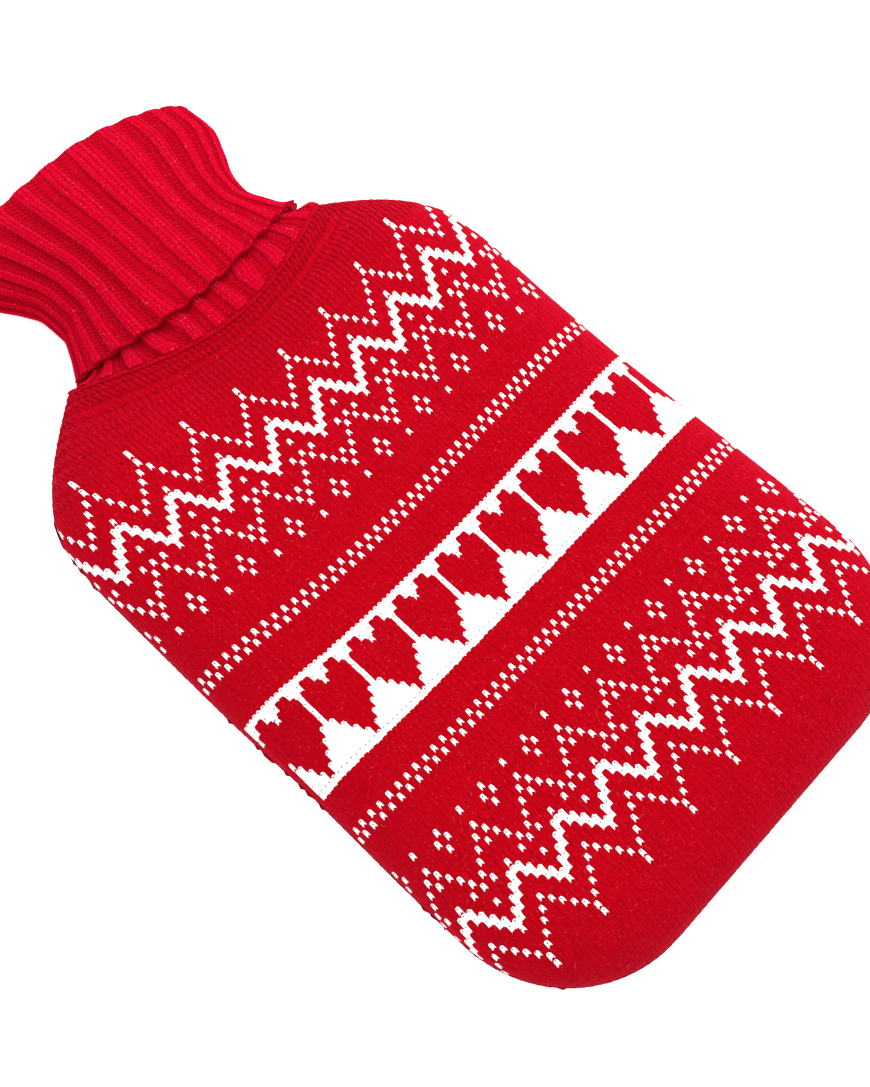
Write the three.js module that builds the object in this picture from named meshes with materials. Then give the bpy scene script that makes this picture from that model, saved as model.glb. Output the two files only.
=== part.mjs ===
// Knitted cover for a hot water bottle, lying on its back and filled out as by a bottle.
// Millimetres. +X runs across the cover, +Y from its base to the mouth of its collar, and
// +Z up from the surface that it lies on.
//
// Three pieces of knitting are sewn together:
//   front_panel  the patterned front, an arched sheet
//   back_panel   the plain back, a shallow dish that lies flat
//   rib_collar   the ribbed neck, one tube that goes up, folds over at the mouth and
//                comes down again outside itself
// The cover is hollow from the base to the mouth.

import * as THREE from 'three';

// ---- driving dimensions -------------------------------------------------------------

const PANEL_CLOTH = 2.4;        // thickness of the two panels
const RIB_CLOTH = 3.0;          // thickness of the ribbed tube
const SEAM_GAP = 0.3;           // between one piece and the next along a seam
const LAYER_GAP = 0.8;          // between the neck and the layer turned down over it

const BASE_Y = -184.2;          // the base edge
const SHOULDER_Y = 36.0;        // where the shoulders begin to draw in, on the centre line
const JOIN_Y = 81.8;            // where the panels end and the rib begins, on the centre line
const HEM_Y = 96.5;             // lower edge of the turned-down layer
const FOLD_Y = 176.0;           // where the neck begins to turn over at the mouth

const SEAM_Z = 16.0;            // height of the side seam above the surface
const CORNER_RADIUS = 51.0;     // the two base corners, seen from above
const BASE_ROUND_TOP = 34.0;    // how far in from the base edge the front goes on rising
const BASE_ROUND_UNDER = 24.0;  // how far in from the base edge the back lies flat
const CROWN_DROP = 0.07;        // share of its height that the front loses towards its sides
const EDGE_FULLNESS = 2.3;      // 2 is an elliptical edge, more is a squarer one

const RIB_COUNT = 28;           // raised ribs round the neck
const RIB_HEIGHT = 0.9;         // crest and trough lie this far from the cloth's middle
const RIB_WAVE = [1, 1, -1, -1]; // one rib: a flat crest and a flat trough

// One row for each level, from base to mouth, at its place on the centre line:
//   left, right  half widths
//   top, under   heights of the upper and the lower surface
//   side, sole   width of the rounded edge above and below the side seam
//   bow          how far the level runs ahead of the centre line, 50 mm out from it
//   lean         how far it runs ahead 50 mm out on the right, and lags on the left
const BOW_REACH = 50.0;
const LEVELS = [
  { at: -184.2, left: 99.0, right: 100.4, top: 35.0, under: 0.0, side: 36, sole: 25, bow: 0.0, lean: 0.0 },
  { at: -140.0, left: 99.2, right: 100.6, top: 36.0, under: 0.0, side: 36, sole: 25, bow: 0.0, lean: 0.0 },
  { at: -105.0, left: 99.8, right: 99.8, top: 36.5, under: 0.0, side: 36, sole: 25, bow: 0.2, lean: 0.0 },
  { at: -65.0, left: 99.6, right: 98.2, top: 36.0, under: 0.0, side: 36, sole: 25, bow: 0.5, lean: 0.0 },
  { at: -30.0, left: 101.0, right: 97.0, top: 36.5, under: 0.0, side: 36, sole: 25, bow: 1.3, lean: 0.0 },
  { at: 0.0, left: 101.2, right: 97.4, top: 36.5, under: 0.0, side: 36, sole: 25, bow: 2.4, lean: 0.0 },
  { at: 25.0, left: 101.2, right: 98.4, top: 36.0, under: 0.0, side: 36, sole: 25, bow: 3.6, lean: -0.3 },
  { at: 42.0, left: 99.6, right: 97.0, top: 35.6, under: 0.0, side: 36, sole: 25, bow: 4.6, lean: -0.8 },
  { at: 52.0, left: 95.2, right: 93.0, top: 35.2, under: 0.0, side: 36, sole: 25, bow: 5.6, lean: -1.6 },
  { at: 60.0, left: 87.5, right: 87.6, top: 34.8, under: 0.0, side: 36, sole: 25, bow: 7.0, lean: -2.6 },
  { at: 69.0, left: 76.0, right: 78.8, top: 34.4, under: 0.0, side: 36, sole: 25, bow: 9.5, lean: -3.8 },
  { at: 76.0, left: 66.0, right: 70.6, top: 34.0, under: 0.2, side: 36, sole: 26, bow: 12.5, lean: -5.0 },
  { at: 81.8, left: 58.5, right: 64.2, top: 33.4, under: 1.1, side: 37, sole: 28, bow: 15.0, lean: -6.0 },
  { at: 89.0, left: 53.5, right: 60.0, top: 33.0, under: 3.6, side: 40, sole: 34, bow: 12.5, lean: -4.6 },
  { at: 96.5, left: 49.0, right: 55.0, top: 32.8, under: 5.6, side: 42, sole: 40, bow: 9.5, lean: -3.2 },
  { at: 106.0, left: 46.2, right: 51.8, top: 32.8, under: 6.2, side: 42, sole: 42, bow: 5.4, lean: -3.2 },
  { at: 116.0, left: 42.6, right: 48.0, top: 33.0, under: 6.4, side: 41, sole: 41, bow: 2.0, lean: -3.6 },
  { at: 126.0, left: 39.2, right: 44.8, top: 33.2, under: 6.4, side: 40, sole: 40, bow: 0.4, lean: -4.0 },
  { at: 137.0, left: 39.6, right: 46.0, top: 33.0, under: 6.3, side: 41, sole: 41, bow: -0.4, lean: -4.4 },
  { at: 150.0, left: 43.6, right: 51.2, top: 32.4, under: 6.1, side: 45, sole: 45, bow: -1.0, lean: -4.8 },
  { at: 164.0, left: 48.3, right: 55.6, top: 31.2, under: 5.9, side: 49, sole: 49, bow: -1.5, lean: -5.1 },
  { at: 176.0, left: 51.6, right: 55.6, top: 29.6, under: 6.0, side: 50, sole: 50, bow: -1.9, lean: -5.3 },
  { at: 181.0, left: 51.6, right: 54.4, top: 29.0, under: 6.3, side: 50, sole: 50, bow: -1.9, lean: -5.3 },
];

// Levels at which the neck's layers get a ring of points, between the hem and the fold.
const FOLDED_LEVELS = [HEM_Y, 106, 116, 126, 137, 150, 164, FOLD_Y];
const BARE_LEVELS = [JOIN_Y + SEAM_GAP, 89];
const FOLD_STEPS = 4;

// Points over each panel: columns across, and rows in its three stretches.
const FRONT_POINTS = { columns: 32, round: 8, body: 13, shoulder: 9 };
const BACK_POINTS = { columns: 24, round: 6, body: 10, shoulder: 8 };

const FRONT_RED = 0xc4051e;
const BACK_RED = 0xbf051d;
const RIB_RED = 0xc80a22;
const WOOL_ROUGHNESS = 0.92;

// ---- the cover's surface ------------------------------------------------------------

// A column of the table at any level, as a smooth curve that never overshoots its rows.
function level(column, at) {
  const last = LEVELS.length - 1;
  if (at <= LEVELS[0].at) return LEVELS[0][column];
  if (at >= LEVELS[last].at) return LEVELS[last][column];
  let k = 0;
  while (LEVELS[k + 1].at < at) k += 1;
  const slope = (i) => {
    const step = LEVELS[i + 1].at - LEVELS[i].at;
    return (LEVELS[i + 1][column] - LEVELS[i][column]) / step;
  };
  const tangent = (i) => {
    if (i === 0) return slope(0);
    if (i === last) return slope(last - 1);
    const before = slope(i - 1);
    const after = slope(i);
    return before * after <= 0 ? 0 : (2 * before * after) / (before + after);
  };
  const step = LEVELS[k + 1].at - LEVELS[k].at;
  const t = (at - LEVELS[k].at) / step;
  return (2 * t ** 3 - 3 * t ** 2 + 1) * LEVELS[k][column]
    + (t ** 3 - 2 * t ** 2 + t) * step * tangent(k)
    + (3 * t ** 2 - 2 * t ** 3) * LEVELS[k + 1][column]
    + (t ** 3 - t ** 2) * step * tangent(k + 1);
}

// Half width on one side, drawn in round the base corner. A swell grows the shape all round.
function halfWidth(side, at, swell) {
  const full = level(side, at) + swell;
  const radius = CORNER_RADIUS + swell;
  const into = BASE_Y + CORNER_RADIUS - at;
  if (into <= 0) return full;
  return full - radius + Math.sqrt(Math.max(radius ** 2 - into ** 2, 0));
}

// From the middle (0) to a side seam (1 or -1): a level span, then a rounded edge.
// Gives the place across and the share of the full height there.
function across(share, width, edge) {
  const span = Math.max(width - edge, 0);
  const round = Math.min(edge, width);
  const edgeLength = 1.25 * round;
  const run = Math.abs(share) * (span + edgeLength);
  if (run <= span) return [Math.sign(share) * run, 1];
  const turn = (run - span) / edgeLength * Math.PI / 2;
  const x = span + round * Math.sin(turn) ** (2 / EDGE_FULLNESS);
  const rise = Math.max(Math.cos(turn), 0) ** (2 / EDGE_FULLNESS);
  return [Math.sign(share) * x, rise];
}

// A point on the cover. face is 1 on the upper half and -1 on the lower one; share runs
// from -1 at the left seam to 1 at the right one; swell moves the point out of the surface.
function surfacePoint(face, at, share, swell, seamZ, lift = 1) {
  const width = halfWidth(share < 0 ? 'left' : 'right', at, swell);
  const edge = level(face > 0 ? 'side' : 'sole', at) + swell;
  const [x, rise] = across(share, width, Math.max(edge, 1));
  let z;
  if (face > 0) {
    const crown = 1 - CROWN_DROP * (x / width) ** 2;
    z = seamZ + (level('top', at) + swell - seamZ) * rise * crown * lift;
  } else {
    z = seamZ - (seamZ - level('under', at) + swell) * rise * lift;
  }
  const out = x / BOW_REACH;
  const y = at + level('bow', at) * out ** 2 + level('lean', at) * out;
  return new THREE.Vector3(x, y, z);
}

// ---- meshes -------------------------------------------------------------------------

// A closed body from loops of points with the same count: each loop is joined to the next
// one and the last to the first, and each loop closes on itself or is capped at its ends.
function bodyFromLoops(loops) {
  const count = loops[0].length;
  const positions = [];
  loops.forEach((loop) => loop.forEach((p) => positions.push(p.x, p.y, p.z)));
  const index = [];
  for (let a = 0; a < loops.length; a += 1) {
    const b = (a + 1) % loops.length;
    for (let i = 0; i < count; i += 1) {
      const j = (i + 1) % count;
      const corners = [a * count + i, b * count + i, b * count + j, a * count + j];
      index.push(corners[0], corners[1], corners[2]);
      index.push(corners[0], corners[2], corners[3]);
    }
  }
  return closedGeometry(positions, index);
}

// A closed sheet from an outer and an inner grid of the same size, joined round the rim.
function sheetFromGrids(outer, inner, outwards) {
  const rows = outer.length;
  const columns = outer[0].length;
  const positions = [];
  [outer, inner].forEach((grid) => grid.forEach((row) => {
    row.forEach((p) => positions.push(p.x, p.y, p.z));
  }));
  const skin = rows * columns;
  const at = (layer, j, i) => layer * skin + j * columns + i;
  const index = [];
  const quad = (a, b, c, d) => {
    if (outwards > 0) index.push(a, b, c, a, c, d);
    else index.push(a, c, b, a, d, c);
  };
  for (let j = 0; j < rows - 1; j += 1) {
    for (let i = 0; i < columns - 1; i += 1) {
      quad(at(0, j, i), at(0, j, i + 1), at(0, j + 1, i + 1), at(0, j + 1, i));
      quad(at(1, j, i), at(1, j + 1, i), at(1, j + 1, i + 1), at(1, j, i + 1));
    }
  }
  const end = columns - 1;
  const top = rows - 1;
  for (let i = 0; i < end; i += 1) {
    quad(at(1, 0, i), at(1, 0, i + 1), at(0, 0, i + 1), at(0, 0, i));
    quad(at(0, top, i), at(0, top, i + 1), at(1, top, i + 1), at(1, top, i));
  }
  for (let j = 0; j < top; j += 1) {
    quad(at(0, j, 0), at(0, j + 1, 0), at(1, j + 1, 0), at(1, j, 0));
    quad(at(1, j, end), at(1, j + 1, end), at(0, j + 1, end), at(0, j, end));
  }
  return closedGeometry(positions, index);
}

function closedGeometry(positions, index) {
  const geometry = new THREE.BufferGeometry();
  geometry.setAttribute('position', new THREE.Float32BufferAttribute(positions, 3));
  geometry.setIndex(index);
  geometry.computeVertexNormals();
  return geometry;
}

function knitting(name, geometry, color) {
  const wool = new THREE.MeshStandardMaterial({ color, roughness: WOOL_ROUGHNESS, metalness: 0 });
  const mesh = new THREE.Mesh(geometry, wool);
  mesh.name = name;
  return mesh;
}

// ---- the two panels -----------------------------------------------------------------

// One skin of a panel. Its first rows turn in from the base edge, the next go up evenly to
// the shoulders, and the last lie closer together as far as the neck.
function panelGrid(face, swell, count, reach) {
  const seamZ = SEAM_Z + face * SEAM_GAP / 2;
  const baseY = BASE_Y - swell;
  const roundLength = reach + swell;
  const inner = baseY + roundLength;
  const rows = [];
  for (let j = 0; j < count.round; j += 1) {
    const turn = j / count.round * Math.PI / 2;
    const at = inner - roundLength * Math.cos(turn) ** (2 / EDGE_FULLNESS);
    rows.push([at, Math.sin(turn) ** (2 / EDGE_FULLNESS)]);
  }
  for (let j = 0; j < count.body; j += 1) {
    rows.push([inner + (SHOULDER_Y - inner) * j / count.body, 1]);
  }
  for (let j = 0; j <= count.shoulder; j += 1) {
    rows.push([SHOULDER_Y + (JOIN_Y - SHOULDER_Y) * j / count.shoulder, 1]);
  }
  return rows.map(([at, lift]) => {
    const row = [];
    for (let i = 0; i <= count.columns; i += 1) {
      const share = -1 + 2 * i / count.columns;
      row.push(surfacePoint(face, at, share, swell, seamZ, lift));
    }
    return row;
  });
}

function frontPanel() {
  const outer = panelGrid(1, 0, FRONT_POINTS, BASE_ROUND_TOP);
  const inner = panelGrid(1, -PANEL_CLOTH, FRONT_POINTS, BASE_ROUND_TOP);
  return knitting('front_panel', sheetFromGrids(outer, inner, 1), FRONT_RED);
}

function backPanel() {
  const outer = panelGrid(-1, 0, BACK_POINTS, BASE_ROUND_UNDER);
  const inner = panelGrid(-1, -PANEL_CLOTH, BACK_POINTS, BASE_ROUND_UNDER);
  return knitting('back_panel', sheetFromGrids(outer, inner, -1), BACK_RED);
}

// ---- the ribbed neck and collar -----------------------------------------------------

// The tube's section along its length, once round its cloth: [level, distance out from
// the neck's outer surface], from the hem over the fold, down inside, and back up.
function collarPath() {
  const inside = -RIB_CLOTH;
  const underLayer = LAYER_GAP;
  const outside = LAYER_GAP + RIB_CLOTH;
  const foldMiddle = LAYER_GAP / 2;
  const foldRadius = outside - foldMiddle;
  const up = FOLDED_LEVELS;
  const down = [...FOLDED_LEVELS].reverse();
  const path = up.map((at) => [at, outside]);
  for (let k = 1; k < FOLD_STEPS; k += 1) {
    const turn = k / FOLD_STEPS * Math.PI;
    path.push([FOLD_Y + foldRadius * Math.sin(turn), foldMiddle + foldRadius * Math.cos(turn)]);
  }
  down.forEach((at) => path.push([at, inside]));
  [...BARE_LEVELS].reverse().forEach((at) => path.push([at, inside]));
  BARE_LEVELS.forEach((at) => path.push([at, 0]));
  up.forEach((at) => path.push([at, 0]));
  down.forEach((at) => path.push([at, underLayer]));
  return path;
}

// One ring of points round the neck, ribs and all. It starts at the right seam, goes over
// the top to the left one, and comes back underneath.
function neckRing(at, out) {
  const points = RIB_COUNT * RIB_WAVE.length;
  const half = points / 2;
  const ring = [];
  for (let i = 0; i < points; i += 1) {
    const face = i < half ? 1 : -1;
    const share = i < half ? 1 - 2 * i / half : -1 + 2 * (i - half) / half;
    const rib = RIB_HEIGHT * RIB_WAVE[i % RIB_WAVE.length];
    ring.push(surfacePoint(face, at, share, out + rib, SEAM_Z));
  }
  return ring;
}

function ribCollar() {
  const rings = collarPath().map(([at, out]) => neckRing(at, out));
  return knitting('rib_collar', bodyFromLoops(rings), RIB_RED);
}

// ---- the cover ----------------------------------------------------------------------

const cover = new THREE.Group();
cover.add(frontPanel());
cover.add(backPanel());
cover.add(ribCollar());

// The origin lies under the middle of the cover, on the surface that it rests on.
const extent = new THREE.Box3().setFromObject(cover);
const middle = extent.getCenter(new THREE.Vector3());
cover.position.set(-middle.x, -middle.y, -extent.min.z);

export default cover;
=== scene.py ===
"""Knitted hot water bottle cover: patterned front, plain back and ribbed, turned-down collar.

Lengths are in millimetres until a mesh is made. +X runs across the cover, +Y from its base
to the mouth of its collar, +Z up from the surface that it lies on.
"""
import math

import bpy
import numpy as np
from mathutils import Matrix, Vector


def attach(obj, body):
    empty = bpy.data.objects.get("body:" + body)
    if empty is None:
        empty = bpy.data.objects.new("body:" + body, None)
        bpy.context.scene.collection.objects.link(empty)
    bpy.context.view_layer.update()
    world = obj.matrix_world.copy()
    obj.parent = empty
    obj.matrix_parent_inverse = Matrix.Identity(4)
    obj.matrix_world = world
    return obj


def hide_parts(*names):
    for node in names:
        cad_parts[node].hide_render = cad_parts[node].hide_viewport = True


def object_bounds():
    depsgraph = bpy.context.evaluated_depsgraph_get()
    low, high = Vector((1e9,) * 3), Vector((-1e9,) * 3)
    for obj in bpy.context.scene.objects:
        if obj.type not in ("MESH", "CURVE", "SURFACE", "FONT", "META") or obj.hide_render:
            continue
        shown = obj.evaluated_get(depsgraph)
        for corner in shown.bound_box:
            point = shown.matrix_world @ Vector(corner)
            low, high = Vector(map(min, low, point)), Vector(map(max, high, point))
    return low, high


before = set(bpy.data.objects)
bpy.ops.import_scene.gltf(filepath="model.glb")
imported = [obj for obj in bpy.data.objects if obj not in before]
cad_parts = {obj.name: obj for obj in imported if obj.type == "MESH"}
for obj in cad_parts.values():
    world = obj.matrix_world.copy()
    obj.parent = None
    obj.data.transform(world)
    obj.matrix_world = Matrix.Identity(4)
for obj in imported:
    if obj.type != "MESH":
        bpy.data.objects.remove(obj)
cad_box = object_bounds()
bpy.ops.object.select_all(action="DESELECT")
scene = bpy.context.scene

MM = 0.001
BASE_Y = -184.2
JOIN_Y = 81.8
HEM_Y = 96.5
FOLD_Y = 176.0
SEAM_Z = 16.0
SEAM_GAP = 0.3
CORNER = 51.0
CROWN_DROP = 0.07
FULLNESS = 2.3
BOW_REACH = 50.0
LEFT_REACH = 101.2
CLOTH_SHIFT = np.array((cad_box[0][0] / MM + LEFT_REACH, cad_box[0][1] / MM - BASE_Y, 0.0))

# ---- camera, light and floor ---------------------------------------------------------

SENSOR = 36.0
FOCAL_PIXELS = 1300.0
FRAME_HEIGHT = 1087.0
CAMERA_AT = np.array((-102.6, -123.7, 471.9))
CAMERA_LOOKS = Vector((0.2068, 0.1969, -0.9584))
ROOM_LIGHT = 1.05
FLOOR_SIZE = 8.0
FLOOR_BELOW = 0.0002
FLOOR_WHITE = 0.97
FLOOR_GLOW = 0.60


def add_camera():
    lens = bpy.data.cameras.new("camera")
    lens.sensor_width = SENSOR
    lens.lens = SENSOR * FOCAL_PIXELS / FRAME_HEIGHT
    lens.clip_start = 0.01
    camera = bpy.data.objects.new("camera", lens)
    camera.location = (CAMERA_AT + CLOTH_SHIFT) * MM
    camera.rotation_euler = CAMERA_LOOKS.to_track_quat("-Z", "Y").to_euler()
    scene.collection.objects.link(camera)
    scene.camera = camera


def add_softbox(name, place, aim, size, power):
    lamp = bpy.data.lights.new(name, "AREA")
    lamp.shape = "RECTANGLE"
    lamp.size, lamp.size_y = size
    lamp.energy = power
    holder = bpy.data.objects.new(name, lamp)
    holder.location = place
    holder.rotation_euler = (Vector(aim) - Vector(place)).to_track_quat("-Z", "Y").to_euler()
    scene.collection.objects.link(holder)


def add_studio():
    room = bpy.data.worlds.new("studio")
    room.use_nodes = True
    room.node_tree.nodes["Background"].inputs["Color"].default_value = (1, 1, 1, 1)
    room.node_tree.nodes["Background"].inputs["Strength"].default_value = ROOM_LIGHT
    scene.world = room
    add_softbox("overhead_light", (0.35, 0.45, 1.5), (0, 0, 0), (1.1, 1.1), 15.0)
    add_softbox("side_light", (1.1, 0.1, 0.75), (0, 0.05, 0), (0.7, 0.7), 9.0)
    scene.view_settings.view_transform = "Standard"
    bpy.ops.mesh.primitive_plane_add(size=FLOOR_SIZE, location=(0, 0, -FLOOR_BELOW))
    floor = bpy.context.object
    floor.name = "floor"
    paint = bpy.data.materials.new("white_floor")
    paint.use_nodes = True
    shader = paint.node_tree.nodes["Principled BSDF"]
    shader.inputs["Base Color"].default_value = (FLOOR_WHITE, FLOOR_WHITE, FLOOR_WHITE, 1)
    shader.inputs["Roughness"].default_value = 0.9
    shader.inputs["Specular IOR Level"].default_value = 0.1
    shader.inputs["Emission Color"].default_value = (1, 1, 1, 1)
    shader.inputs["Emission Strength"].default_value = FLOOR_GLOW
    floor.data.materials.append(paint)
    bpy.ops.object.select_all(action="DESELECT")


add_camera()
add_studio()

# ---- the cover's surface -------------------------------------------------------------

# Each level from base to mouth, at its place on the centre line: half widths left and
# right, heights of the upper and lower surface, widths of the rounded edge above and below
# the side seam, how far the level bows ahead 50 mm out, and how far it leans ahead there.
COLUMNS = ("left", "right", "top", "under", "side", "sole", "bow", "lean")
LEVELS = (
    (-184.2, 99.0, 100.4, 35.0, 0.0, 36, 25, 0.0, 0.0),
    (-140.0, 99.2, 100.6, 36.0, 0.0, 36, 25, 0.0, 0.0),
    (-105.0, 99.8, 99.8, 36.5, 0.0, 36, 25, 0.2, 0.0),
    (-65.0, 99.6, 98.2, 36.0, 0.0, 36, 25, 0.5, 0.0),
    (-30.0, 101.0, 97.0, 36.5, 0.0, 36, 25, 1.3, 0.0),
    (0.0, 101.2, 97.4, 36.5, 0.0, 36, 25, 2.4, 0.0),
    (25.0, 101.2, 98.4, 36.0, 0.0, 36, 25, 3.6, -0.3),
    (42.0, 99.6, 97.0, 35.6, 0.0, 36, 25, 4.6, -0.8),
    (52.0, 95.2, 93.0, 35.2, 0.0, 36, 25, 5.6, -1.6),
    (60.0, 87.5, 87.6, 34.8, 0.0, 36, 25, 7.0, -2.6),
    (69.0, 76.0, 78.8, 34.4, 0.0, 36, 25, 9.5, -3.8),
    (76.0, 66.0, 70.6, 34.0, 0.2, 36, 26, 12.5, -5.0),
    (81.8, 58.5, 64.2, 33.4, 1.1, 37, 28, 15.0, -6.0),
    (89.0, 53.5, 60.0, 33.0, 3.6, 40, 34, 12.5, -4.6),
    (96.5, 49.0, 55.0, 32.8, 5.6, 42, 40, 9.5, -3.2),
    (106.0, 46.2, 51.8, 32.8, 6.2, 42, 42, 5.4, -3.2),
    (116.0, 42.6, 48.0, 33.0, 6.4, 41, 41, 2.0, -3.6),
    (126.0, 39.2, 44.8, 33.2, 6.4, 40, 40, 0.4, -4.0),
    (137.0, 39.6, 46.0, 33.0, 6.3, 41, 41, -0.4, -4.4),
    (150.0, 43.6, 51.2, 32.4, 6.1, 45, 45, -1.0, -4.8),
    (164.0, 48.3, 55.6, 31.2, 5.9, 49, 49, -1.5, -5.1),
    (176.0, 51.6, 55.6, 29.6, 6.0, 50, 50, -1.9, -5.3),
    (181.0, 51.6, 54.4, 29.0, 6.3, 50, 50, -1.9, -5.3),
)
EDGE_RUN = 1.25       # knitting round a rounded edge, for each millimetre of its width
LEVEL_TABLE = np.array(LEVELS)
LEVEL_AT = LEVEL_TABLE[:, 0]


def level_slopes(values):
    """Slope at each level, flat wherever the column turns back."""
    step = np.diff(LEVEL_AT)
    rise = np.diff(values) / step
    slopes = np.zeros(len(values))
    slopes[0], slopes[-1] = rise[0], rise[-1]
    for k in range(1, len(values) - 1):
        before, after = rise[k - 1], rise[k]
        slopes[k] = 0 if before * after <= 0 else 2 * before * after / (before + after)
    return slopes


LEVEL_CURVES = {name: (LEVEL_TABLE[:, 1 + k], level_slopes(LEVEL_TABLE[:, 1 + k]))
                for k, name in enumerate(COLUMNS)}


def level(name, at):
    """A column of the table at any level, as a smooth curve that never overshoots."""
    values, slopes = LEVEL_CURVES[name]
    at = np.clip(at, LEVEL_AT[0], LEVEL_AT[-1])
    k = np.clip(np.searchsorted(LEVEL_AT, at, side="right") - 1, 0, len(LEVEL_AT) - 2)
    step = LEVEL_AT[k + 1] - LEVEL_AT[k]
    t = (at - LEVEL_AT[k]) / step
    return ((2 * t**3 - 3 * t**2 + 1) * values[k] + (t**3 - 2 * t**2 + t) * step * slopes[k]
            + (3 * t**2 - 2 * t**3) * values[k + 1] + (t**3 - t**2) * step * slopes[k + 1])


def half_width(right, at, swell):
    """From the centre line to the seam; the base's two corners are rounded."""
    full = np.where(right, level("right", at), level("left", at)) + swell
    radius = CORNER + swell
    into = np.maximum(BASE_Y + CORNER - at, 0)
    return full - radius + np.sqrt(np.maximum(radius**2 - into**2, 0))


def edge_shape(share, width, edge):
    """Place across and share of the height, from the middle (0) to a seam (1 or -1)."""
    edge = np.minimum(edge, width)
    span = width - edge
    run = np.abs(share) * (span + EDGE_RUN * edge)
    turn = np.clip((run - span) / (EDGE_RUN * edge), 0, 1) * math.pi / 2
    x = np.where(run <= span, run, span + edge * np.sin(turn) ** (2 / FULLNESS))
    rise = np.maximum(np.cos(turn), 0) ** (2 / FULLNESS)
    return np.sign(share) * x, rise


def surface_point(face, at, share, swell, seam_z, lift=1.0):
    """A point on the cover: face 1 is the upper half and -1 the lower one."""
    width = half_width(share > 0, at, swell)
    edge = np.where(face > 0, level("side", at), level("sole", at)) + swell
    x, rise = edge_shape(share, width, np.maximum(edge, 1))
    crown = 1 - CROWN_DROP * (x / width) ** 2
    upper = seam_z + (level("top", at) + swell - seam_z) * rise * crown * lift
    lower = seam_z - (seam_z - level("under", at) + swell) * rise * lift
    out = x / BOW_REACH
    y = at + level("bow", at) * out**2 + level("lean", at) * out
    return np.stack(np.broadcast_arrays(x, y, np.where(face > 0, upper, lower)), -1)


# ---- how the stitches lie on the panels -----------------------------------------------

WALE = 2.105          # from one column of stitches to the next
ROW = 3.145           # from one row of stitches to the next
MIDDLE_WALE = 37.67   # the wale on the centre line
BAND_ROW = 35         # the row at the middle of the band of hearts
BAND_AT = -52.2       # and its level
FIRST_WALE, LAST_WALE = -19, 94
FIRST_ROW, LAST_ROW = -8, 80
FRONT_ROUND = 34.0    # how far in the base edge starts to round, on the front
BACK_ROUND = 24.0     # and on the back
FRONT_FALL = 19.5     # how far the front comes down there
STEEP = 1.15          # wales keep their spacing in plan until the cloth is this steep
NECK_SPREAD = 0.0585  # the wales lie this share further apart at the first row
NECK_SPREAD_ROWS = 15
NECK_SLIDE = 0.75     # and this far to the right there
WALE_SLIDE = -0.15
HALF_MAP = 150        # the maps reach this far from the centre line
PAST_SEAM = 100.0     # past the seam, shares go on at one for each of this many millimetres
BASE_EDGE_STEPS = 400


def base_edge(reach, drop, steep):
    """Turns round the base edge, and the length of knitting used up by each."""
    turns = np.linspace(0, math.pi / 2, BASE_EDGE_STEPS)
    out = np.diff(reach * np.sin(turns) ** (2 / FULLNESS))
    down = np.diff(drop * np.cos(turns) ** (2 / FULLNESS))
    used = np.cumsum(np.maximum(out, np.hypot(out, down) / steep))
    return turns, np.concatenate(((0,), used))


BASE_EDGES = {FRONT_ROUND: base_edge(FRONT_ROUND, FRONT_FALL, STEEP),
              BACK_ROUND: base_edge(BACK_ROUND, SEAM_Z, 1.0)}


def row_level(row, reach, swell):
    """Level of a row on the centre line, and its share of the height by the base edge."""
    at = BAND_AT - (row - BAND_ROW) * ROW
    inner = BASE_Y + reach
    turns, used = BASE_EDGES[reach]
    turn = np.interp(inner - at, used, turns)
    rounded = inner - (reach + swell) * np.sin(turn) ** (2 / FULLNESS)
    lift = np.maximum(np.cos(turn), 0) ** (2 / FULLNESS)
    return np.where(at > inner, at, rounded), lift


def wale_place(wale, row):
    """Millimetres from the centre line: the wales spread a little towards the neck."""
    spread = np.exp(-np.maximum(row, -10) / NECK_SPREAD_ROWS)
    return (WALE * (wale - MIDDLE_WALE) * (1 + NECK_SPREAD * spread) + NECK_SLIDE * spread
            + WALE_SLIDE)


class WaleMap:
    """Turns a place across a panel into a share of the way to the seam, row by row."""

    def __init__(self, face, reach, steep):
        self.reach = reach
        self.rows = np.linspace(FIRST_ROW - 1, LAST_ROW + 1, 4 * (LAST_ROW - FIRST_ROW) + 9)
        self.places = np.linspace(-HALF_MAP, HALF_MAP, 4 * HALF_MAP + 1)
        at, lift = row_level(self.rows, reach, 0.0)
        fine = np.linspace(0, 1, 401)
        self.shares = np.empty((len(self.rows), len(self.places)))
        for side in (-1, 1):
            grid = surface_point(face, at[:, None], side * fine[None, :], 0.0, SEAM_Z,
                                 lift[:, None])
            dx = np.abs(np.diff(grid[..., 0], axis=1))
            ds = np.hypot(dx, np.diff(grid[..., 2], axis=1))
            run = np.cumsum(np.maximum(dx, ds / steep), axis=1)
            run = np.concatenate((np.zeros((len(at), 1)), run), axis=1)
            half = self.places * side >= 0
            away = np.abs(self.places[half])
            for j in range(len(at)):
                share = np.interp(away, run[j], fine)
                share += np.maximum(away - run[j, -1], 0) / PAST_SEAM
                self.shares[j, half] = side * share

    def share(self, place, row):
        j = (row - self.rows[0]) / (self.rows[1] - self.rows[0])
        i = (place - self.places[0]) / (self.places[1] - self.places[0])
        j = np.clip(j, 0, len(self.rows) - 1.001)
        i = np.clip(i, 0, len(self.places) - 1.001)
        j0, i0 = j.astype(int), i.astype(int)
        fj, fi = j - j0, i - i0
        s = self.shares
        return ((s[j0, i0] * (1 - fi) + s[j0, i0 + 1] * fi) * (1 - fj)
                + (s[j0 + 1, i0] * (1 - fi) + s[j0 + 1, i0 + 1] * fi) * fj)


front_map = WaleMap(1, FRONT_ROUND, STEEP)
back_map = WaleMap(-1, BACK_ROUND, 1.0)

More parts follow.
